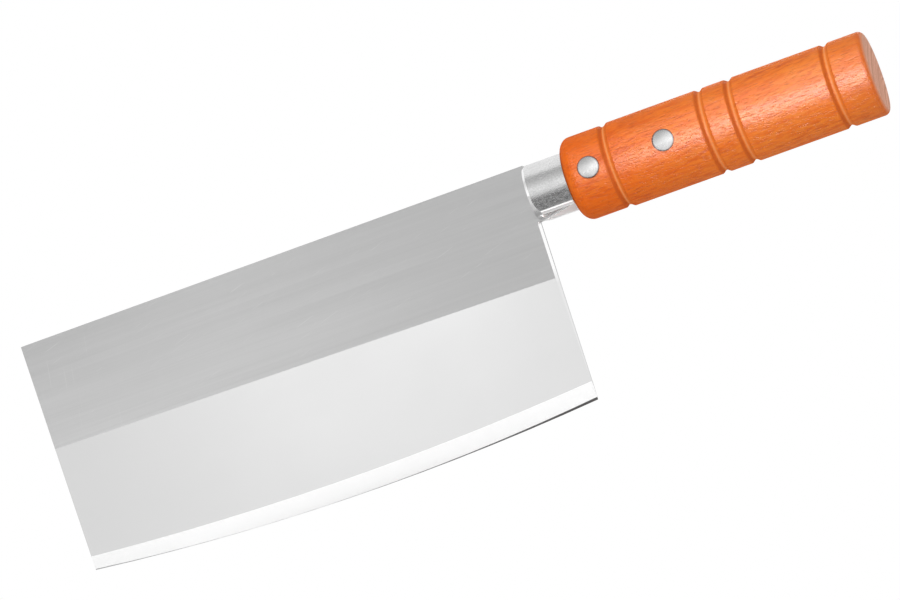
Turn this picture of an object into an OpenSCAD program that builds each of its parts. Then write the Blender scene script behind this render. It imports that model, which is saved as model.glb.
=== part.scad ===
// Square-bladed vegetable cleaver with a steel collar and a turned wooden handle.
// Millimetres. X runs from the tip to the butt, Z from the cutting edge up to the spine,
// and the blade lies in the XZ plane. The knife's left side faces -Y.
// The origin is under the middle of the knife's length, level with the lowest point of the edge.

/* [Blade] */
// Length of the spine, from the tip to the heel
blade_length = 205; // [160:1:240]
// Depth of the blade at the tip, from the spine to the edge's corner
tip_depth = 90.1; // [75:0.1:100]
// Depth of the blade at the heel, from the spine to the edge's corner
heel_depth = 92.8; // [75:0.1:105]
// How far the tip's lower corner sits back from its upper corner
tip_rake = 2.2; // [0:0.1:8]
// How far the middle of the edge bellies below the line between its corners
edge_belly = 5.1; // [2:0.1:9]
// Thickness of the spine at the heel
spine_heel = 2.4; // [1.8:0.1:4]
// Thickness of the spine at the tip
spine_tip = 1.9; // [1.4:0.1:2.4]
// Distance from the spine to the grind line at the tip
grind_tip = 41.4; // [25:0.1:50]
// Distance from the spine to the grind line at the heel
grind_heel = 44.4; // [25:0.1:50]
// Thickness that each ground face loses over 100 mm below the grind line
grind_taper = 0.98; // [0.4:0.02:1.2]
// Width of the edge bevel at the tip
bevel_tip = 5.3; // [3:0.1:8]
// Width of the edge bevel at the middle of the blade
bevel_middle = 7.1; // [3:0.1:9]
// Width of the edge bevel at the heel
bevel_heel = 7.2; // [3:0.1:9]
// Angle of the edge bevel on each side
bevel_angle = 4.6; // [4.2:0.1:5.2]
// Angle of the honed edge on each side
hone_angle = 15; // [12:1:20]
// Thickness left at the honed edge
edge_land = 0.06; // [0.04:0.01:0.15]
// Width of the polished chamfer along the heel
heel_chamfer = 1.1; // [0.5:0.1:1.6]
// Depth of the polished chamfer along the heel
heel_chamfer_depth = 0.45; // [0.2:0.05:0.7]

/* [Tang] */
// Distance from the spine to the axis of the collar and the handle
axis_drop = 11.9; // [11:0.1:12.5]
// Depth of the neck at the heel, from the spine
neck_depth_front = 22.3; // [20:0.1:24]
// Depth of the neck where it enters the handle, from the spine
neck_depth_rear = 19.2; // [18.8:0.1:20]
// Height of the tang inside the handle
tang_height = 14; // [11:0.5:15]
// Length of the tang inside the handle
tang_length = 50; // [46:1:80]
// Clearance of the tang in its mortise, on each face
tang_clearance = 0.15; // [0.05:0.05:0.4]

/* [Collar] */
// Radius of the collar's round back
collar_radius = 11.5; // [10:0.1:12]
// Length of the collar between the heel and the handle
collar_length = 15.6; // [12:0.1:24]
// How far the collar's legs reach below its axis
collar_leg = 9.4; // [6:0.1:10]
// Angle at which each leg leans in below the round back
collar_lean = 18; // [2:1:24]
// Wall of the collar
collar_wall = 1.9; // [1.2:0.1:2.4]
// Radial depth of the bevel on the collar's front rim
rim_bevel = 0.6; // [0.3:0.1:1]
// Angle of the bevel on the collar's front rim, from the rim's face
rim_angle = 58; // [30:1:65]
// Bevel along the lower edge of each leg
leg_bevel = 0.6; // [0.3:0.1:0.9]

/* [Handle] */
// Diameter of the grip
grip_diameter = 32.8; // [30:0.2:38]
// Diameter of the short section in front of the first groove
nose_diameter = 32.2; // [30:0.2:36]
// Length of the wooden handle
handle_length = 121.7; // [108:0.1:150]
// Radial depth of the rounding on the handle's front edge
nose_round = 5.6; // [1:0.1:6]
// Length of the rounding on the handle's front edge
nose_round_length = 4.6; // [1:0.1:6]
// Rounding of the handle's butt edge
butt_round = 2.3; // [0.5:0.1:4]
// Width of a decorative groove
groove_width = 3.6; // [2:0.1:5]
// Depth of a decorative groove
groove_depth = 1.0; // [0.4:0.1:1.6]
// Distance from the handle's front to the first groove
groove_front = 18.4; // [17.5:0.1:20]
// Distance from the handle's front to the second groove
groove_middle = 56.8; // [50:0.1:58]
// Distance from the second groove to the third groove
groove_pair = 11.7; // [8:0.1:16]
// Distance from the handle's butt to the fourth groove
groove_rear = 15.2; // [8:0.1:20]

/* [Rivets] */
// Diameter of a rivet head
head_diameter = 7.9; // [7:0.1:9]
// Height of the straight rim of a rivet head
head_rim = 1.0; // [0.6:0.1:1.4]
// Height of the dome on a rivet head
head_dome = 0.6; // [0.4:0.1:1.2]
// Depth of a head's seat below the crest of the grip
seat_depth = 1.3; // [0.9:0.1:2]
// Diameter of the hollow half of a rivet
sleeve_diameter = 5.2; // [4.8:0.1:5.6]
// Diameter of the solid half of a rivet
pin_diameter = 3.4; // [2.8:0.1:3.6]
// Length of the solid half inside the hollow one
pin_overlap = 11; // [8:0.5:12]
// Space left past the end of a rivet's hollow half and past its solid half
sleeve_gap = 0.5; // [0.2:0.1:1]
// Gap round a rivet in the handle and the tang
rivet_clearance = 0.1; // [0.05:0.05:0.3]
// Gap between the two halves of a rivet
press_clearance = 0.02; // [0.01:0.01:0.1]
// Distance from the handle's front to the front rivet
rivet_front = 10.5; // [9:0.1:12]
// Distance between the two rivets
rivet_pitch = 29.8; // [26:0.1:31]

/* [Hidden] */
$fn = 96;

// Levels and stations in the knife's own layout: x = 0 at the heel, z = 0 at the spine.
axis_z = -axis_drop;
crown_z = axis_z + collar_radius;
handle_x = collar_length;
butt_x = handle_x + handle_length;
tang_end_x = handle_x + tang_length;
front_rivet_x = handle_x + rivet_front;
rear_rivet_x = front_rivet_x + rivet_pitch;
half_spine = spine_heel / 2;
far = 4 * blade_length;
hair = 0.01;

// A circle through three points, as [centre x, centre z, radius].
function cross2(a, b) = a[0] * b[1] - a[1] * b[0];
function circle3(a, b, c) =
    let (p = b - a,
         q = c - a,
         d = 2 * cross2(p, q),
         u = (q[1] * (p * p) - p[1] * (q * q)) / d,
         v = (p[0] * (q * q) - q[0] * (p * p)) / d)
    [a[0] + u, a[1] + v, norm([u, v])];

// The cutting edge is one arc through the two corners and the belly.
edge_tip = [tip_rake - blade_length, -tip_depth];
edge_heel = [0, -heel_depth];
edge_middle = (edge_tip + edge_heel) / 2 - [0, edge_belly];
edge_arc = circle3(edge_tip, edge_middle, edge_heel);
edge_drop = edge_arc[2] - edge_arc[1];

// Half thickness of the blade's flats, and of its ground faces further down.
distal_angle = atan((spine_heel - spine_tip) / 2 / blade_length);
grind_slope = atan((grind_heel - grind_tip) / blade_length);
grind_angle = atan(grind_taper / 100);
function flat_half(x) = half_spine + x * tan(distal_angle);
function grind_z(x) = -grind_heel - x * tan(grind_slope);
function face_half(x, z) = flat_half(x) - (grind_z(x) - z) * tan(grind_angle);

// The edge bevel is a double cone. Its rim is the arc where only the land would be left.
function bevel_rim(p, width) =
    let (top = p[1] + width)
    [p[0], top - (face_half(p[0], top) - edge_land / 2) / tan(bevel_angle)];
bevel_arc = circle3(bevel_rim(edge_tip, bevel_tip),
                    bevel_rim(edge_middle, bevel_middle),
                    bevel_rim(edge_heel, bevel_heel));

grip_r = grip_diameter / 2;
nose_r = nose_diameter / 2;
grooves = [groove_front, groove_middle, groove_middle + groove_pair, handle_length - groove_rear];
groove_steps = 12;
groove_power = 1.5;
round_steps = 8;

seat = grip_r - seat_depth;
dome_r = (pow(head_diameter / 2, 2) + pow(head_dome, 2)) / (2 * head_dome);

// Moves the knife's own layout into the part's frame.
module placed() {
    translate([(blade_length - butt_x) / 2, 0, edge_drop])
        children();
}

// A profile in x and z, as a plate centred on the blade's plane.
module side_plate(thickness) {
    rotate([90, 0, 0])
        translate([0, 0, -thickness / 2])
        linear_extrude(thickness)
        children();
}

// A profile in y and z about the handle's axis, carried along x.
module along_handle(start, length) {
    translate([start, 0, axis_z])
        rotate([90, 0, 90])
        linear_extrude(length)
        children();
}

// A solid of revolution about the handle's axis, from a profile of radius and station.
module turned(start) {
    translate([start, 0, axis_z])
        rotate([90, 0, 90])
        rotate_extrude()
        children();
}

// The double cone whose rim is the given arc and whose sides meet the edge at the given angle.
module edge_cone(arc, angle) {
    depth = 2 * heel_depth;
    translate([arc[0], 0, arc[1]])
        rotate([90, 0, 0])
        rotate_extrude($fn = 360)
        polygon([
            [arc[2] - depth, -edge_land / 2 - depth * tan(angle)],
            [arc[2], -edge_land / 2],
            [arc[2], edge_land / 2],
            [arc[2] - depth, edge_land / 2 + depth * tan(angle)]
        ]);
}

module blade_outline() {
    intersection() {
        polygon([
            [-blade_length, 0],
            [0, 0],
            [0, -2 * heel_depth],
            [2 * tip_rake - blade_length, -2 * tip_depth]
        ]);
        translate([edge_arc[0], edge_arc[1]])
            circle(edge_arc[2], $fn = 360);
    }
}

// The neck narrows between the heel and the handle, and the tang steps in from both its edges.
module tang_outline() {
    half = tang_height / 2;
    corner = half / 2;
    overlap = collar_wall / 2;
    shoulder = handle_x - collar_wall;
    polygon([
        [-overlap, min(0, crown_z)],
        [0, crown_z],
        [shoulder, crown_z],
        [shoulder, axis_z + half],
        [tang_end_x - corner, axis_z + half],
        [tang_end_x, axis_z + half - corner],
        [tang_end_x, axis_z - half + corner],
        [tang_end_x - corner, axis_z - half],
        [handle_x - hair, axis_z - half],
        [handle_x - hair, -neck_depth_rear],
        [0, -neck_depth_front],
        [-overlap, -neck_depth_front]
    ]);
}

// What is ground away from one side: the flat, the face below the grind line and the heel's chamfer.
module side_waste() {
    translate([0, half_spine, 0])
        rotate([0, 0, distal_angle])
        translate([-far, 0, -far / 2])
        cube(far);
    translate([0, half_spine, -grind_heel])
        rotate([0, 0, distal_angle])
        rotate([0, grind_slope, 0])
        rotate([-grind_angle, 0, 0])
        translate([-far / 2, 0, -far])
        cube(far);
    translate([-heel_chamfer, half_spine, -far - neck_depth_front])
        rotate([0, 0, -atan(heel_chamfer_depth / heel_chamfer)])
        cube(far);
}

// A hole across the knife for each rivet.
module rivet_holes(diameter) {
    for (x = [front_rivet_x, rear_rivet_x])
        translate([x, 0, axis_z])
        rotate([90, 0, 0])
        cylinder(h = 4 * grip_r, r = diameter / 2 + rivet_clearance, center = true);
}

module blade() {
    color("silver")
        placed()
        difference() {
            union() {
                intersection() {
                    side_plate(spine_heel)
                        blade_outline();
                    edge_cone(bevel_arc, bevel_angle);
                    edge_cone(edge_arc, hone_angle);
                }
                side_plate(spine_heel)
                    tang_outline();
            }
            side_waste();
            mirror([0, 1, 0])
                side_waste();
            rivet_holes(sleeve_diameter);
        }
}

// The collar's full form: a round back, and straight legs that leave it at a tangent, down to the given level.
module collar_form(start, length, radius, leg, bevel) {
    side = [radius * cos(collar_lean), -radius * sin(collar_lean)];
    bend = side - (leg - bevel + side[1]) * [tan(collar_lean), 1];
    foot = bend[0] - bevel;
    intersection() {
        union() {
            along_handle(start, length)
                circle(radius);
            along_handle(start, length)
                polygon([
                    [-side[0], side[1]],
                    [0, radius / 2],
                    side,
                    bend,
                    [foot, -leg],
                    [-foot, -leg],
                    [-bend[0], bend[1]]
                ]);
        }
        along_handle(start, length)
            translate([-radius, -leg])
            square([2 * radius, radius + leg]);
    }
}

// One half of the collar: a shell with a closed front, open below, fixed to one face of the neck.
module collar_half() {
    rim = collar_radius - rim_bevel;
    difference() {
        intersection() {
            collar_form(0, collar_length, collar_radius, collar_leg, leg_bevel);
            turned(0)
                polygon([
                    [0, 0],
                    [rim, 0],
                    [rim + collar_length / tan(rim_angle), collar_length],
                    [0, collar_length]
                ]);
        }
        collar_form(collar_wall, far, collar_radius - collar_wall, collar_leg + collar_wall, leg_bevel);
        translate([-far / 2, -half_spine, -far / 2])
            cube(far);
    }
}

module collar_left() {
    color("gainsboro")
        placed()
        collar_half();
}

module collar_right() {
    color("gainsboro")
        placed()
        mirror([0, 1, 0])
        collar_half();
}

// The handle's radius at a station: grooves are smooth hollows in two plain cylinders.
function barrel(x) = x < groove_front ? nose_r : grip_r;
function groove_point(g, i) =
    let (u = 2 * i / groove_steps - 1,
         x = g + u * groove_width / 2)
    [barrel(x) - groove_depth * pow(cos(90 * u), groove_power), x];
function nose_point(i) =
    let (a = 90 * i / round_steps)
    [nose_r - nose_round * (1 - sin(a)), nose_round_length * (1 - cos(a))];
function butt_point(i) =
    let (a = 90 * i / round_steps)
    [grip_r - butt_round * (1 - cos(a)), handle_length - butt_round * (1 - sin(a))];

module handle() {
    mortise = tang_height + 2 * tang_clearance;
    color("chocolate")
        placed()
        difference() {
            turned(handle_x)
                polygon(concat(
                    [[0, 0]],
                    [for (i = [0:round_steps]) nose_point(i)],
                    [for (g = grooves, i = [0:groove_steps]) groove_point(g, i)],
                    [for (i = [0:round_steps]) butt_point(i)],
                    [[0, handle_length]]
                ));
            translate([handle_x - hair, -half_spine - tang_clearance, axis_z - mortise / 2])
                cube([tang_length + tang_clearance + hair, spine_heel + 2 * tang_clearance, mortise]);
            rivet_holes(sleeve_diameter);
            for (x = [front_rivet_x, rear_rivet_x], side = [-90, 90])
                translate([x, 0, axis_z])
                rotate([side, 0, 0])
                translate([0, 0, seat])
                cylinder(h = grip_r, r = head_diameter / 2 + rivet_clearance);
        }
}

// A rivet's head, domed, on its seat. Its shank points to the knife's middle.
module rivet_head() {
    translate([0, 0, seat])
        cylinder(h = head_rim, r = head_diameter / 2);
    intersection() {
        translate([0, 0, seat + head_rim + head_dome - dome_r])
            sphere(dome_r);
        translate([0, 0, seat + head_rim / 2])
            cylinder(h = dome_r, r = head_diameter / 2);
    }
}

module rivet_sleeve(x) {
    color("lightgray")
        placed()
        translate([x, 0, axis_z])
        rotate([90, 0, 0])
        difference() {
            union() {
                rivet_head();
                translate([0, 0, sleeve_gap - seat])
                    cylinder(h = 2 * seat - sleeve_gap, r = sleeve_diameter / 2);
            }
            translate([0, 0, -seat])
                cylinder(h = pin_overlap + sleeve_gap, r = pin_diameter / 2 + press_clearance);
        }
}

module rivet_pin(x) {
    color("lightgray")
        placed()
        translate([x, 0, axis_z])
        rotate([-90, 0, 0]) {
            rivet_head();
            translate([0, 0, seat - pin_overlap])
                cylinder(h = pin_overlap + hair, r = pin_diameter / 2);
        }
}

blade();
collar_left();
collar_right();
handle();
rivet_sleeve(front_rivet_x);  // front_rivet_sleeve
rivet_pin(front_rivet_x);  // front_rivet_pin
rivet_sleeve(rear_rivet_x);  // rear_rivet_sleeve
rivet_pin(rear_rivet_x);  // rear_rivet_pin
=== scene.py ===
import math

import bmesh
import bpy
from mathutils import Matrix, Vector

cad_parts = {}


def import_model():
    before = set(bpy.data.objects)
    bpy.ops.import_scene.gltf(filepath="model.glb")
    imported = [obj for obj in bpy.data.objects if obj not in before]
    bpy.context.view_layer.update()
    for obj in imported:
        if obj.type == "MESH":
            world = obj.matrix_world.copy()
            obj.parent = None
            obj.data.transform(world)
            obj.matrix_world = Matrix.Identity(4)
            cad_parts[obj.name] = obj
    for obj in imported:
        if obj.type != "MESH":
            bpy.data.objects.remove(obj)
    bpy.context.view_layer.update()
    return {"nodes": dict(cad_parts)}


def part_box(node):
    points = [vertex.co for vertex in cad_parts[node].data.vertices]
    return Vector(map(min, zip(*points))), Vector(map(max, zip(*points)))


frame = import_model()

MM = 0.001

# Camera: angles and lens that give the photograph's view of the knife, and the picture's width in pixels.
AIM = Vector((-0.0081, 0.0, 0.0581))
CAMERA_AZIMUTH = math.radians(10.924)
CAMERA_ELEVATION = math.radians(-10.363)
CAMERA_ROLL = math.radians(17.745)
CAMERA_DISTANCE = 2.759
FOCAL_PIXELS = 7379.5
PICTURE_WIDTH = 900
SENSOR_WIDTH = 36.0
FAR_CLIP = 100.0

# The knife's own stations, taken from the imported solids.
blade_low, blade_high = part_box("blade")
handle_low, handle_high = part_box("handle")
collar_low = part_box("collar_left")[0]
pin_low, pin_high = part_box("front_rivet_pin")
rear_pin_low, rear_pin_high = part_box("rear_rivet_pin")
SPINE_Z = blade_high.z
TIP_X = blade_low.x
HEEL_X = collar_low.x
HANDLE_FRONT_X = handle_low.x
BUTT_X = handle_high.x
COLLAR_FOOT_Z = collar_low.z
AXIS_Z = (handle_low.z + handle_high.z) / 2
RIVET_X = ((pin_low.x + pin_high.x) / 2, (rear_pin_low.x + rear_pin_high.x) / 2)
RIVET_RADIUS = (pin_high.x - pin_low.x) / 2
RIVET_CREST = pin_high.y

# The radius of the sphere that the rivets' heads are shaded as a part of.
HEAD_DOME_RADIUS = 13.3 * MM

# Distance from the spine to the grind line at the tip and at the heel.
GRIND_TIP = 41.4 * MM
GRIND_HEEL = 44.4 * MM

# The grooves' stations, two from the handle's front, one behind the second, one from the butt.
GROOVE_MIDDLE_X = HANDLE_FRONT_X + 56.8 * MM
GROOVE_X = [
    HANDLE_FRONT_X + 18.4 * MM,
    GROOVE_MIDDLE_X,
    GROOVE_MIDDLE_X + 11.7 * MM,
    BUTT_X - 15.2 * MM,
]
GROOVE_WIDTH = 3.6 * MM

# Painted light in each groove, by distance from its middle: painted shade on the front flank, a painted
# highlight line, and a painted shade line at the rear lip.
SHADED_FLANK = -0.28 * GROOVE_WIDTH
HIGHLIGHT_LINE = 0.1 * GROOVE_WIDTH
REAR_LIP = 0.44 * GROOVE_WIDTH

# The tree that the wood came from: where its pith lies from the handle's axis, how much the rings drift
# along the handle and sway, and how many there are to a metre.
PITH_Y = 31 * MM
PITH_DROP = 42 * MM
RING_DRIFT = 0.11
RING_SWAY = 9 * MM
RINGS_PER_METRE = 520.0

# How far the nose's deeper colour and its thinner varnish reach back from the handle's front.
NOSE_TINT_REACH = 60 * MM
NOSE_VARNISH_REACH = 55 * MM


def linear(red, green, blue):
    """A colour written as screen values from 0 to 255, as the linear values that a shader takes."""
    def channel(value):
        share = value / 255
        return share / 12.92 if share <= 0.04045 else ((share + 0.055) / 1.055) ** 2.4
    return (channel(red), channel(green), channel(blue), 1.0)


def grey(value):
    return linear(value, value, value)


def plain(value):
    """One linear value as a colour, which is also how two roughnesses are mixed."""
    return (value, value, value, 1.0)


class Shader:
    """A material's node tree, with a short call for each kind of node it needs."""

    def __init__(self, name):
        self.material = bpy.data.materials.new(name)
        self.material.use_nodes = True
        self.tree = self.material.node_tree
        self.tree.nodes.clear()
        self.coordinates = self.tree.nodes.new("ShaderNodeTexCoord").outputs["Object"]

    def node(self, kind, **settings):
        made = self.tree.nodes.new(kind)
        for name, value in settings.items():
            setattr(made, name, value)
        return made

    def feed(self, socket, value):
        """Links a socket to another node's output, or sets it to a plain value."""
        if isinstance(value, bpy.types.NodeSocket):
            self.tree.links.new(value, socket)
        else:
            socket.default_value = value

    def math(self, operation, first, second=0.0, third=0.0):
        made = self.node("ShaderNodeMath", operation=operation)
        for socket, value in zip(made.inputs, (first, second, third)):
            self.feed(socket, value)
        return made.outputs[0]

    def split(self, vector):
        made = self.node("ShaderNodeSeparateXYZ")
        self.feed(made.inputs[0], vector)
        return made.outputs

    def stretched(self, scale, turn=(0.0, 0.0, 0.0), shift=(0.0, 0.0, 0.0)):
        """The object's own coordinates, turned and then scaled by so many cycles a metre."""
        turned = self.node("ShaderNodeMapping")
        self.feed(turned.inputs["Vector"], self.coordinates)
        turned.inputs["Rotation"].default_value = turn
        turned.inputs["Location"].default_value = shift
        scaled = self.node("ShaderNodeVectorMath", operation="MULTIPLY")
        self.feed(scaled.inputs[0], turned.outputs[0])
        scaled.inputs[1].default_value = scale
        return scaled.outputs[0]

    def noise(self, scale, detail=3.0, roughness=0.5, turn=(0.0, 0.0, 0.0), shift=(0.0, 0.0, 0.0)):
        made = self.node("ShaderNodeTexNoise")
        self.feed(made.inputs["Vector"], self.stretched(scale, turn, shift))
        made.inputs["Scale"].default_value = 1.0
        made.inputs["Detail"].default_value = detail
        made.inputs["Roughness"].default_value = roughness
        return made.outputs["Fac"]

    def lines(self, value, detail, roughness):
        """Noise along one number, the same wherever that number is the same."""
        made = self.node("ShaderNodeTexNoise", noise_dimensions="1D")
        self.feed(made.inputs["W"], value)
        made.inputs["Scale"].default_value = 1.0
        made.inputs["Detail"].default_value = detail
        made.inputs["Roughness"].default_value = roughness
        return made.outputs["Fac"]

    def nearest(self, value, places):
        """How far value lies from the nearest of the places."""
        gaps = [self.math("ABSOLUTE", self.math("SUBTRACT", value, place)) for place in places]
        least = gaps[0]
        for gap in gaps[1:]:
            least = self.math("MINIMUM", least, gap)
        return least

    def length(self, first, second):
        """The length of the vector that has the two numbers as its parts."""
        squares = self.math("MULTIPLY_ADD", first, first, self.math("MULTIPLY", second, second))
        return self.math("SQRT", squares)

    def share(self, part, amount):
        """A mask, held down to the given amount."""
        return self.math("MULTIPLY", part, amount)

    def ramp(self, value, low, high, out_low=0.0, out_high=1.0, smooth=False):
        """Carries value from the range low..high to out_low..out_high, and holds it there."""
        made = self.node("ShaderNodeMapRange", clamp=True)
        if smooth:
            made.interpolation_type = "SMOOTHSTEP"
        for socket, given in zip(made.inputs, (value, low, high, out_low, out_high)):
            self.feed(socket, given)
        return made.outputs[0]

    def mix(self, share, first, second):
        made = self.node("ShaderNodeMix", data_type="RGBA")
        self.feed(made.inputs[0], share)
        self.feed(made.inputs[6], first)
        self.feed(made.inputs[7], second)
        return made.outputs[2]

    def bump(self, height, distance, under=None):
        made = self.node("ShaderNodeBump")
        made.inputs["Strength"].default_value = 1.0
        made.inputs["Distance"].default_value = distance
        self.feed(made.inputs["Height"], height)
        if under is not None:
            self.feed(made.inputs["Normal"], under)
        return made.outputs[0]

    def finish(self, **inputs):
        """Ends the tree in one Principled shader. An input's name is the socket's, with _ for a space."""
        principled = self.node("ShaderNodeBsdfPrincipled")
        for name, value in inputs.items():
            self.feed(principled.inputs[name.replace("_", " ")], value)
        output = self.node("ShaderNodeOutputMaterial")
        self.tree.links.new(principled.outputs[0], output.inputs["Surface"])
        return self.material


def wear(material, *nodes):
    """Gives the material to CAD nodes, in every slot they have."""
    for name in nodes:
        slots = frame["nodes"][name].data.materials
        if not slots:
            slots.append(material)
        for index in range(len(slots)):
            slots[index] = material


# Materials

def blade_steel():
    """Satin along the spine, polished below the grind line, mirror-bright on the bevel and the chamfers,
    with painted shade and painted reflection gradients over the satin and the polish.
    """
    s = Shader("blade_steel")
    x, _, z = s.split(s.coordinates)
    normal_x, _, normal_z = s.split(s.node("ShaderNodeNewGeometry").outputs["True Normal"])
    along = s.ramp(x, TIP_X, HEEL_X)

    slope = (GRIND_HEEL - GRIND_TIP) / (HEEL_X - TIP_X)
    below_spine = s.math("SUBTRACT", SPINE_Z - GRIND_HEEL, z)
    below_grind = s.math("MULTIPLY_ADD", s.math("SUBTRACT", HEEL_X, x), slope, below_spine)
    ragged = s.noise((900.0, 0.0, 0.0), detail=2.0)
    ragged_line = s.math("MULTIPLY_ADD", s.math("SUBTRACT", ragged, 0.5), 0.5 * MM, below_grind)
    polished = s.ramp(ragged_line, -0.05 * MM, 0.2 * MM)
    down = s.math("MULTIPLY", normal_z, -1.0)
    bevel = s.ramp(down, 0.03, 0.05)
    honed = s.ramp(down, 0.15, 0.2)
    turned = s.math("ABSOLUTE", normal_x)
    chamfer = s.ramp(turned, 0.1, 0.2)
    end_face = s.ramp(turned, 0.8, 0.9)
    spine = s.ramp(normal_z, 0.5, 0.6)
    underside = s.ramp(down, 0.5, 0.6)

    fine = s.noise((30.0, 400.0, 5200.0), detail=2.0)
    streaks = s.noise((9.0, 90.0, 900.0), detail=4.0, roughness=0.6)
    clouds = s.noise((16.0, 16.0, 26.0), detail=3.0)
    scratch = s.noise((60.0, 300.0, 3000.0), detail=1.0, turn=(0.0, math.radians(17), 0.0))
    scratches = s.ramp(scratch, 0.735, 0.76)
    upright = s.noise((2600.0, 300.0, 40.0), detail=1.0, turn=(0.0, math.radians(-8), 0.0))
    marks = s.math("MULTIPLY", s.ramp(upright, 0.74, 0.77), s.ramp(along, 0.25, 0.05))

    # Painted shade and painted reflection: the satin is darker towards the spine, most near the tip, and
    # grades from lighter at the tip to darker at the heel. The polish grades from dull at the tip to bright
    # towards the heel, and turns duller at the heel's end and towards the edge.
    spine_shade = s.math("MULTIPLY", s.ramp(below_grind, -40 * MM, -8 * MM), -1.0)
    spine_shade = s.math("MULTIPLY", s.math("ADD", spine_shade, 1.0), s.ramp(along, 0.0, 0.4, 0.6, 0.25))
    satin_tone = s.mix(s.ramp(along, 0.3, 1.0, smooth=True), grey(212), grey(197))
    satin_tone = s.mix(spine_shade, satin_tone, grey(184))
    satin_tone = s.mix(s.ramp(streaks, 0.3, 0.7, 0.0, 0.14), satin_tone, grey(170))
    satin_tone = s.mix(s.ramp(clouds, 0.3, 0.7, 0.0, 0.1), satin_tone, grey(214))
    satin_tone = s.mix(s.share(s.math("MAXIMUM", scratches, marks), 0.45), satin_tone, grey(222))
    polish_tone = s.mix(s.ramp(along, 0.0, 0.55, smooth=True), grey(215), grey(237))
    polish_tone = s.mix(s.ramp(along, 0.8, 1.0, 0.0, 0.35), polish_tone, grey(214))
    polish_tone = s.mix(s.ramp(below_grind, 0.0, 45 * MM, 0.0, 0.5), polish_tone, grey(218))
    polish_tone = s.mix(s.ramp(clouds, 0.35, 0.65, 0.0, 0.15), polish_tone, grey(214))
    tone = s.mix(polished, satin_tone, polish_tone)
    mottle = s.math("MULTIPLY", s.ramp(clouds, 0.4, 0.6), s.ramp(along, 0.3, 0.0, 0.0, 0.6))
    tone = s.mix(bevel, tone, s.mix(mottle, grey(255), grey(240)))
    tone = s.mix(honed, tone, s.mix(s.ramp(along, 0.0, 1.0), grey(206), grey(112)))
    above_grind = s.ramp(below_grind, 2 * MM, -4 * MM)
    tone = s.mix(chamfer, tone, s.mix(above_grind, grey(232), grey(255)))
    heel_shade = s.math("MULTIPLY", above_grind, s.ramp(x, HEEL_X - 3 * MM, HEEL_X - 2 * MM))
    tone = s.mix(end_face, tone, s.mix(heel_shade, grey(205), grey(150)))
    tone = s.mix(spine, tone, grey(208))
    tone = s.mix(underside, tone, s.mix(s.ramp(x, HEEL_X, HEEL_X + 1 * MM), grey(150), grey(215)))

    satin_rough = s.ramp(streaks, 0.3, 0.7, 0.33, 0.4)
    roughness = s.mix(polished, satin_rough, s.ramp(clouds, 0.3, 0.7, 0.14, 0.19))
    roughness = s.mix(s.math("MAXIMUM", bevel, chamfer), roughness, plain(0.1))
    roughness = s.mix(s.math("MAXIMUM", honed, end_face), roughness, plain(0.3))

    brush_depth = s.ramp(polished, 0.0, 1.0, 1.0, 0.1)
    brushing = s.math("MULTIPLY", s.math("MULTIPLY_ADD", streaks, 0.6, fine), brush_depth)
    brushing = s.math("MULTIPLY_ADD", scratches, -0.3, brushing)
    return s.finish(
        Base_Color=tone,
        Metallic=1.0,
        Roughness=roughness,
        Normal=s.bump(brushing, 0.004 * MM),
    )


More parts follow.
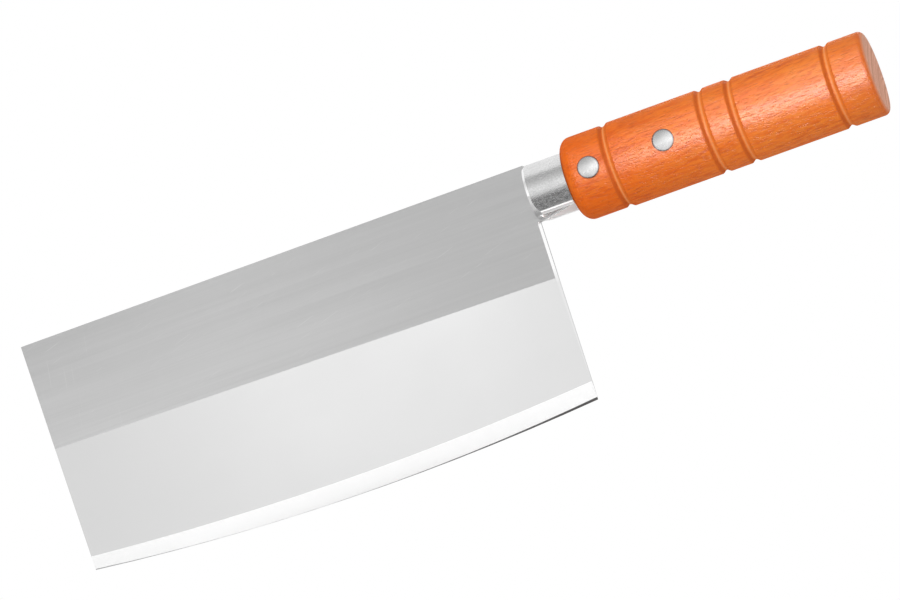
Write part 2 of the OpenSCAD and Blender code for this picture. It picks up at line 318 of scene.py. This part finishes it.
def collar_steel():
    """Coarse satin steel with a polished rim and foot and a pale lip, and painted reflection bands, one
    darker along the side's middle and one dark and speckled on the legs. Inside, a pale matte cast skin.
    """
    s = Shader("collar_steel")
    _, y, z = s.split(s.coordinates)
    normal_x, normal_y, normal_z = s.split(s.node("ShaderNodeNewGeometry").outputs["True Normal"])
    height = s.math("SUBTRACT", z, AXIS_Z)
    outward = s.math("MULTIPLY_ADD", normal_y, y, s.math("MULTIPLY", normal_z, height))
    inside = s.math("MAXIMUM", s.ramp(outward, -0.5 * MM, -1.0 * MM), s.ramp(normal_x, 0.5, 0.6))
    rim = s.ramp(normal_x, -0.2, -0.3)
    foot = s.math("MULTIPLY", s.ramp(normal_z, -0.5, -0.6), s.ramp(outward, 0.0, 1.0 * MM))
    bright = s.math("MAXIMUM", rim, foot)
    outer_side = s.ramp(s.math("MULTIPLY", outward, s.ramp(normal_z, -0.5, -0.4)), 0.0, 1.0 * MM)
    lip = s.math("MULTIPLY", s.ramp(z, COLLAR_FOOT_Z + 1.2 * MM, COLLAR_FOOT_Z + 0.6 * MM), outer_side)
    matte = s.math("MAXIMUM", inside, lip)

    grain = s.noise((2400.0, 2400.0, 2400.0), detail=2.0, roughness=0.6)
    blotch = s.noise((700.0, 1400.0, 1400.0), detail=3.0, roughness=0.65)
    soft = s.noise((150.0, 240.0, 240.0), detail=3.0)
    tone = s.mix(s.ramp(grain, 0.35, 0.65), grey(222), grey(244))
    tone = s.mix(s.ramp(soft, 0.3, 0.7, 0.0, 0.25), tone, grey(205))
    # Painted reflection: a darker band along the middle of the side.
    from_side = s.math("ABSOLUTE", s.math("SUBTRACT", height, 0.5 * MM))
    tone = s.mix(s.ramp(from_side, 3.2 * MM, 1.2 * MM, 0.0, 0.3), tone, grey(200))
    # Painted reflection: a dark, speckled band down the legs that fades towards the foot.
    leg_top = s.ramp(height, -2.2 * MM, -4.4 * MM)
    leg_foot = s.ramp(height, -9.2 * MM, -7.0 * MM, 0.3, 1.0)
    leg_painted_reflection = s.math("MULTIPLY", leg_top, leg_foot)
    speckle = s.math("MULTIPLY_ADD", blotch, 0.5, s.math("MULTIPLY", grain, 0.5))
    tone = s.mix(s.math("MULTIPLY", leg_painted_reflection, s.ramp(speckle, 0.42, 0.58)), tone, grey(165))
    tone = s.mix(bright, tone, grey(252))
    tone = s.mix(lip, tone, grey(222))
    tone = s.mix(inside, tone, grey(246))
    roughness = s.mix(bright, s.ramp(soft, 0.3, 0.7, 0.2, 0.27), plain(0.12))
    roughness = s.mix(matte, roughness, plain(0.75))
    coarse = s.math("MULTIPLY_ADD", blotch, 1.5, grain)
    relief = s.math("MULTIPLY", coarse, s.ramp(bright, 0.0, 1.0, 1.0, 0.1))
    return s.finish(
        Base_Color=tone,
        Metallic=s.math("SUBTRACT", 1.0, matte),
        Roughness=roughness,
        Normal=s.bump(relief, 0.035 * MM),
    )


def handle_wood():
    """Orange-brown hardwood: streaks along the grain, short dark pores, growth lines, satin varnish."""
    s = Shader("handle_wood")
    x, y, z = s.split(s.coordinates)
    normal_x = s.split(s.node("ShaderNodeNewGeometry").outputs["True Normal"])[0]
    height = s.math("SUBTRACT", z, AXIS_Z)

    fibre = s.noise((40.0, 1700.0, 1700.0), detail=4.0, roughness=0.65)
    streak = s.noise((16.0, 360.0, 360.0), detail=3.0, roughness=0.6)
    clouds = s.noise((34.0, 80.0, 80.0), detail=3.0)
    patches = s.noise((36.0, 110.0, 110.0), detail=2.0, shift=(0.7, 0.1, 0.4))
    strokes = s.noise((150.0, 640.0, 640.0), detail=3.0, roughness=0.6, turn=(0.0, math.radians(9), 0.0))
    sway = s.noise((22.0, 30.0, 30.0), detail=2.0)
    from_pith = s.length(s.math("SUBTRACT", y, PITH_Y), s.math("ADD", height, PITH_DROP))
    ring = s.math("MULTIPLY_ADD", x, RING_DRIFT, s.math("MULTIPLY_ADD", sway, RING_SWAY, from_pith))
    growth = s.lines(s.math("MULTIPLY", ring, RINGS_PER_METRE), detail=3.0, roughness=0.6)
    pore = s.noise((330.0, 3000.0, 3000.0), detail=1.0)
    fleck = s.noise((120.0, 1500.0, 1500.0), detail=2.0, shift=(0.3, 0.2, 0.1))
    end_pore = s.noise((3000.0, 3000.0, 3000.0), detail=1.0)
    pores = s.ramp(pore, 0.6, 0.67)
    flecks = s.ramp(fleck, 0.62, 0.69)

    tone = s.mix(s.ramp(fibre, 0.32, 0.68), linear(246, 114, 12), linear(252, 141, 40))
    tone = s.mix(s.ramp(streak, 0.45, 0.72, 0.0, 0.6), tone, linear(232, 99, 12))
    tone = s.mix(s.ramp(clouds, 0.38, 0.68, 0.0, 0.5), tone, linear(248, 146, 56))
    tone = s.mix(s.ramp(strokes, 0.44, 0.62, 0.0, 0.5), tone, linear(226, 92, 12))
    dark_patches = s.math("MULTIPLY", s.ramp(strokes, 0.48, 0.6), s.ramp(patches, 0.5, 0.66, 0.0, 0.6))
    tone = s.mix(dark_patches, tone, linear(204, 82, 18))
    nose_tint = s.ramp(x, HANDLE_FRONT_X, HANDLE_FRONT_X + NOSE_TINT_REACH, 0.6, 0.0)
    tone = s.mix(nose_tint, tone, linear(238, 96, 0))
    tone = s.mix(s.ramp(growth, 0.6, 0.68, 0.0, 0.25), tone, linear(204, 80, 20))
    tone = s.mix(s.share(flecks, 0.35), tone, linear(190, 76, 26))
    tone = s.mix(s.share(pores, 0.45), tone, linear(176, 72, 26))

    end_tone = s.mix(s.ramp(growth, 0.35, 0.65), linear(240, 186, 162), linear(214, 160, 136))
    end_tone = s.mix(s.ramp(end_pore, 0.62, 0.7, 0.0, 0.5), end_tone, linear(180, 124, 102))
    near_butt = s.ramp(x, BUTT_X - 3 * MM, BUTT_X - 2 * MM)
    bevel = s.math("MULTIPLY", s.ramp(normal_x, 0.6, 0.85), near_butt)
    # The wood is darker towards the butt. Close to the butt's rim it turns a deeper orange, which is
    # painted shade where the surface rounds away.
    tone = s.mix(s.ramp(x, GROOVE_X[-1], BUTT_X, 0.2, 0.45), tone, linear(206, 104, 44))
    tone = s.mix(s.share(near_butt, 0.25), tone, linear(206, 92, 32))
    end_face = s.ramp(normal_x, 0.9, 0.97)
    tone = s.mix(s.share(bevel, 0.6), tone, linear(232, 176, 150))
    tone = s.mix(end_face, tone, end_tone)

    from_groove = s.nearest(x, GROOVE_X)
    from_flank_shade = s.nearest(x, [groove + SHADED_FLANK for groove in GROOVE_X])
    from_painted_highlight = s.nearest(x, [groove + HIGHLIGHT_LINE for groove in GROOVE_X])
    from_lip_shade = s.nearest(x, [groove + REAR_LIP for groove in GROOVE_X])
    inside = s.ramp(from_groove, 0.52 * GROOVE_WIDTH, 0.4 * GROOVE_WIDTH)
    flank_shade = s.ramp(from_flank_shade, 0.26 * GROOVE_WIDTH, 0.1 * GROOVE_WIDTH, 0.0, 0.6)
    painted_highlight = s.ramp(from_painted_highlight, 0.16 * GROOVE_WIDTH, 0.06 * GROOVE_WIDTH, 0.0, 0.6)
    lip_shade = s.ramp(from_lip_shade, 0.12 * GROOVE_WIDTH, 0.04 * GROOVE_WIDTH, 0.0, 0.3)
    # In the grooves the floor is lighter; painted shade darkens the front flank, a painted highlight runs
    # along one line, and a painted shade line runs at the rear lip.
    tone = s.mix(s.share(inside, 0.35), tone, linear(246, 144, 72))
    tone = s.mix(flank_shade, tone, linear(186, 80, 26))
    tone = s.mix(painted_highlight, tone, linear(250, 168, 106))
    tone = s.mix(lip_shade, tone, linear(190, 84, 30))
    from_rivet = s.length(s.nearest(x, RIVET_X), height)
    seam = s.ramp(from_rivet, RIVET_RADIUS + 0.45 * MM, RIVET_RADIUS + 0.2 * MM)
    tone = s.mix(s.share(seam, 0.85), tone, linear(74, 38, 28))
    front_edge = s.ramp(normal_x, -0.75, -0.95)
    tone = s.mix(s.share(front_edge, 0.6), tone, linear(120, 56, 30))

    in_groove = s.ramp(from_groove, 0.6 * GROOVE_WIDTH, 0.45 * GROOVE_WIDTH, 0.0, 0.6)
    bare = s.math("MAXIMUM", s.math("MAXIMUM", bevel, front_edge), in_groove)
    facing = s.node("ShaderNodeLayerWeight").outputs["Facing"]
    thickness = s.ramp(x, HANDLE_FRONT_X, HANDLE_FRONT_X + NOSE_VARNISH_REACH, 0.62, 1.0)
    sheen = s.math("MULTIPLY", thickness, s.ramp(facing, 0.72, 0.92, 1.0, 0.1))
    relief = s.math("SUBTRACT", s.math("MULTIPLY", fibre, 0.5), s.math("MAXIMUM", pores, flecks))
    orange_peel = s.noise((900.0, 1500.0, 1500.0), detail=2.0, roughness=0.6)
    varnish = s.math("MULTIPLY_ADD", orange_peel, 2.4, s.math("MULTIPLY_ADD", streak, 0.4, relief))
    return s.finish(
        Base_Color=tone,
        Roughness=s.ramp(fibre, 0.3, 0.7, 0.5, 0.6),
        Specular_IOR_Level=0.0,
        Normal=s.bump(relief, 0.05 * MM),
        Coat_Weight=s.math("MULTIPLY", s.ramp(bare, 0.0, 1.0, 0.33, 0.0), sheen),
        Coat_Roughness=0.36,
        Coat_Normal=s.bump(varnish, 0.06 * MM),
    )


def rivet_metal():
    """Domed heads of white metal with fine marks, a painted reflection that brightens them below and to the
    rear, and a darker rim.
    """
    s = Shader("rivet_metal")
    x, y, z = s.split(s.coordinates)
    marks = s.noise((1500.0, 1500.0, 1500.0), detail=4.0, roughness=0.65)
    soft = s.noise((260.0, 260.0, 260.0), detail=2.0)
    rear = s.math("GREATER_THAN", x, sum(RIVET_X) / 2)
    across = s.math("SUBTRACT", x, s.ramp(rear, 0.0, 1.0, RIVET_X[0], RIVET_X[1]))
    height = s.math("SUBTRACT", z, AXIS_Z)
    from_centre = s.length(across, height)
    rim = s.ramp(from_centre, RIVET_RADIUS - 0.5 * MM, RIVET_RADIUS - 0.1 * MM)
    dome = s.node("ShaderNodeCombineXYZ")
    s.feed(dome.inputs[0], across)
    s.feed(dome.inputs[1], s.math("MULTIPLY", s.math("SIGN", y), HEAD_DOME_RADIUS))
    s.feed(dome.inputs[2], height)
    within_rim = s.ramp(from_centre, RIVET_RADIUS - 0.2 * MM, RIVET_RADIUS - 0.4 * MM)
    at_surface = s.ramp(s.math("ABSOLUTE", y), RIVET_CREST - 0.5 * MM, RIVET_CREST - 0.4 * MM)
    unit = s.node("ShaderNodeVectorMath", operation="NORMALIZE")
    s.feed(unit.inputs[0], dome.outputs[0])
    normal = s.node("ShaderNodeMix", data_type="VECTOR")
    s.feed(normal.inputs[0], s.math("MULTIPLY", within_rim, at_surface))
    s.feed(normal.inputs[4], s.node("ShaderNodeNewGeometry").outputs["Normal"])
    s.feed(normal.inputs[5], unit.outputs[0])
    # Painted reflection: the heads are grey above and to the front, and white below and to the rear.
    painted_glint = s.math("ADD", s.math("SUBTRACT", across, height), s.math("MULTIPLY", soft, 5 * MM))
    tone = s.mix(s.ramp(painted_glint, -1.5 * MM, 5.5 * MM), grey(210), grey(255))
    tone = s.mix(s.ramp(marks, 0.5, 0.7, 0.0, 0.35), tone, grey(205))
    tone = s.mix(s.share(rim, 0.5), tone, grey(165))
    return s.finish(
        Base_Color=tone,
        Metallic=1.0,
        Roughness=s.ramp(marks, 0.3, 0.7, 0.2, 0.3),
        Normal=s.bump(marks, 0.02 * MM, under=normal.outputs[1]),
    )


wear(blade_steel(), "blade")
wear(collar_steel(), "collar_left", "collar_right")
wear(handle_wood(), "handle")
wear(rivet_metal(), "front_rivet_sleeve", "front_rivet_pin", "rear_rivet_sleeve", "rear_rivet_pin")


# Studio

# What shiny surfaces see of the studio: the height of a ray, from -1 straight down to 1 straight up,
# and its light.
STUDIO_LIGHT = (
    (-1.0, 0.95), (-0.25, 0.97), (-0.1, 1.1), (0.06, 1.1), (0.16, 1.0), (0.24, 0.98),
    (0.42, 0.76), (0.62, 0.6), (0.8, 0.42), (0.86, 0.42), (0.92, 0.9), (1.0, 0.95),
)

# Behind the knife they see one even light, which takes over while a ray's y goes from the first of these
# values to the second.
STUDIO_BEHIND = 0.94
BEHIND_STARTS = (-0.05, 0.1)

# The even light that falls on matte surfaces.
AMBIENT = 0.57

# The dark card before and below the collar: how far it lies under the handle's axis, its two long edges,
# its two ends, and how much light it gives back.
CARD_DROP = 40 * MM
CARD_Y = (-122 * MM, -50 * MM)
CARD_X = (HEEL_X - 28 * MM, HANDLE_FRONT_X)
CARD_LIGHT = 0.27

FLOOR_RADIUS = 6.0
FLOOR_WHITE = 0.86

# The large lamps' size and where they aim, and the stations along the knife where the small ones stand.
LARGE_LAMP = (1.2, 1.2)
KNIFE_MIDDLE = (0.0, 0.0, 0.06)
SOFTBOX_X = 0.14
TOP_SOFTBOX_X = 0.12
NECK_X = HEEL_X + 8 * MM


def world():
    """White behind the knife, graded in reflections, and a plain ambient level for everything else."""
    made = bpy.data.worlds.new("studio")
    bpy.context.scene.world = made
    made.use_nodes = True
    tree = made.node_tree
    tree.nodes.clear()

    def link(output, socket):
        tree.links.new(output, socket)

    path = tree.nodes.new("ShaderNodeLightPath")
    ray = tree.nodes.new("ShaderNodeTexCoord")
    parts = tree.nodes.new("ShaderNodeSeparateXYZ")
    link(ray.outputs["Generated"], parts.inputs[0])
    height = tree.nodes.new("ShaderNodeMapRange")
    height.inputs["From Min"].default_value = -1.0
    link(parts.outputs["Z"], height.inputs["Value"])
    graded = tree.nodes.new("ShaderNodeValToRGB")
    stops = graded.color_ramp.elements
    while len(stops) < len(STUDIO_LIGHT):
        stops.new(0.5)
    for stop, (place, light) in zip(stops, STUDIO_LIGHT):
        stop.position = (place + 1) / 2
        stop.color = (light, light, light, 1.0)
    link(height.outputs[0], graded.inputs[0])

    behind = tree.nodes.new("ShaderNodeMapRange")
    behind.inputs["From Min"].default_value = BEHIND_STARTS[0]
    behind.inputs["From Max"].default_value = BEHIND_STARTS[1]
    link(parts.outputs["Y"], behind.inputs["Value"])
    around = tree.nodes.new("ShaderNodeMix")
    around.inputs[3].default_value = STUDIO_BEHIND
    link(behind.outputs[0], around.inputs[0])
    link(graded.outputs[0], around.inputs[2])

    glossy = tree.nodes.new("ShaderNodeMix")
    glossy.inputs[2].default_value = AMBIENT
    link(path.outputs["Is Glossy Ray"], glossy.inputs[0])
    link(around.outputs[0], glossy.inputs[3])
    seen = tree.nodes.new("ShaderNodeMath")
    seen.operation = "MAXIMUM"
    link(path.outputs["Is Camera Ray"], seen.inputs[0])
    link(path.outputs["Is Transmission Ray"], seen.inputs[1])
    level = tree.nodes.new("ShaderNodeMix")
    level.inputs[3].default_value = 1.0
    link(seen.outputs[0], level.inputs[0])
    link(glossy.outputs[0], level.inputs[2])
    background = tree.nodes.new("ShaderNodeBackground")
    background.inputs["Color"].default_value = (1.0, 1.0, 1.0, 1.0)
    link(level.outputs[0], background.inputs["Strength"])
    output = tree.nodes.new("ShaderNodeOutputWorld")
    link(background.outputs[0], output.inputs["Surface"])


def one_sided(name, shader, colour, strength=None):
    """A material that shows on the front of its faces alone and is clear from behind."""
    material = bpy.data.materials.new(name)
    material.use_nodes = True
    tree = material.node_tree
    tree.nodes.clear()
    side = tree.nodes.new("ShaderNodeNewGeometry")
    clear = tree.nodes.new("ShaderNodeBsdfTransparent")
    front = tree.nodes.new(shader)
    front.inputs["Color"].default_value = colour
    if strength is not None:
        front.inputs["Strength"].default_value = strength
    choice = tree.nodes.new("ShaderNodeMixShader")
    tree.links.new(side.outputs["Backfacing"], choice.inputs[0])
    tree.links.new(front.outputs[0], choice.inputs[1])
    tree.links.new(clear.outputs[0], choice.inputs[2])
    output = tree.nodes.new("ShaderNodeOutputMaterial")
    tree.links.new(choice.outputs[0], output.inputs["Surface"])
    return material


def stage_piece(name, build, material):
    """Puts a finished bmesh in the scene as part of the studio."""
    mesh = bpy.data.meshes.new(name)
    build.to_mesh(mesh)
    build.free()
    made = bpy.data.objects.new(name, mesh)
    bpy.context.collection.objects.link(made)
    mesh.materials.append(material)
    return made


def floor():
    """A pale round floor under the edge. From below, where the photograph's camera stands, it is clear."""
    build = bmesh.new()
    bmesh.ops.create_circle(build, cap_ends=True, radius=FLOOR_RADIUS, segments=96)
    stage_piece("floor", build, one_sided("floor_white", "ShaderNodeBsdfDiffuse", plain(FLOOR_WHITE)))


def dark_card():
    """A small dark card, face up, that only reflections in the collar and close to it show."""
    build = bmesh.new()
    front, back = CARD_Y
    left, right = CARD_X
    corners = ((left, front), (right, front), (right, back), (left, back))
    build.faces.new([build.verts.new((x, y, AXIS_Z - CARD_DROP)) for x, y in corners])
    made = stage_piece("card", build, one_sided("card_dark", "ShaderNodeEmission", grey(255), CARD_LIGHT))
    for rays in ("camera", "diffuse", "transmission", "volume_scatter", "shadow"):
        setattr(made, "visible_" + rays, False)


def lamp(name, place, aim, size, power, reflected=False, only=None):
    """A soft lamp for matte surfaces, or for gloss alone if reflected. Only names the nodes it lights."""
    data = bpy.data.lights.new(name, "AREA")
    data.shape = "RECTANGLE"
    data.size, data.size_y = size
    data.energy = power
    made = bpy.data.objects.new(name, data)
    bpy.context.collection.objects.link(made)
    made.location = place
    made.rotation_euler = (Vector(aim) - Vector(place)).to_track_quat("-Z", "Y").to_euler()
    made.visible_camera = False
    made.visible_glossy = reflected
    made.visible_diffuse = not reflected
    if only:
        receivers = bpy.data.collections.new(name + "_receivers")
        for node in only:
            receivers.objects.link(frame["nodes"][node])
        made.light_linking.receiver_collection = receivers


def camera():
    data = bpy.data.cameras.new("camera")
    data.sensor_width = SENSOR_WIDTH
    data.lens = FOCAL_PIXELS / PICTURE_WIDTH * SENSOR_WIDTH
    data.clip_end = FAR_CLIP
    made = bpy.data.objects.new("camera", data)
    bpy.context.collection.objects.link(made)
    towards = Vector((
        math.sin(CAMERA_AZIMUTH) * math.cos(CAMERA_ELEVATION),
        -math.cos(CAMERA_AZIMUTH) * math.cos(CAMERA_ELEVATION),
        math.sin(CAMERA_ELEVATION),
    ))
    level_right = Vector((0.0, 0.0, 1.0)).cross(towards).normalized()
    level_up = towards.cross(level_right)
    right = level_right * math.cos(CAMERA_ROLL) - level_up * math.sin(CAMERA_ROLL)
    up = level_up * math.cos(CAMERA_ROLL) + level_right * math.sin(CAMERA_ROLL)
    axes = Matrix((right, up, towards)).transposed().to_4x4()
    made.matrix_world = Matrix.Translation(AIM + towards * CAMERA_DISTANCE) @ axes
    bpy.context.scene.camera = made


world()
floor()
dark_card()
lamp("left_softbox", place=(SOFTBOX_X, -0.2, AXIS_Z - 0.02), aim=(SOFTBOX_X, 0.0, AXIS_Z - 0.02),
     size=(0.21, 0.12), power=2.7, reflected=True, only=["handle"])
lamp("right_softbox", place=(SOFTBOX_X, 0.19, AXIS_Z + 0.09), aim=(SOFTBOX_X, 0.0, AXIS_Z),
     size=(0.21, 0.08), power=0.28, reflected=True, only=["handle"])
lamp("top_softbox", place=(TOP_SOFTBOX_X, -0.25, 0.33), aim=(TOP_SOFTBOX_X, 0.0, AXIS_Z),
     size=(0.3, 0.2), power=1.6, reflected=True, only=["handle"])
lamp("key", place=(-0.7, -1.7, 0.45), aim=KNIFE_MIDDLE, size=LARGE_LAMP, power=13.5)
lamp("fill", place=(1.2, -1.8, 0.3), aim=KNIFE_MIDDLE, size=LARGE_LAMP, power=11.0)
lamp("under", place=(NECK_X, 0.0, 10 * MM), aim=(NECK_X, 0.0, AXIS_Z),
     size=(0.1, 0.1), power=0.3, only=["collar_left", "collar_right"])
lamp("back", place=(0.4, 1.9, 1.2), aim=KNIFE_MIDDLE, size=LARGE_LAMP, power=14.0)
camera()

bpy.context.scene.view_settings.view_transform = "Standard"
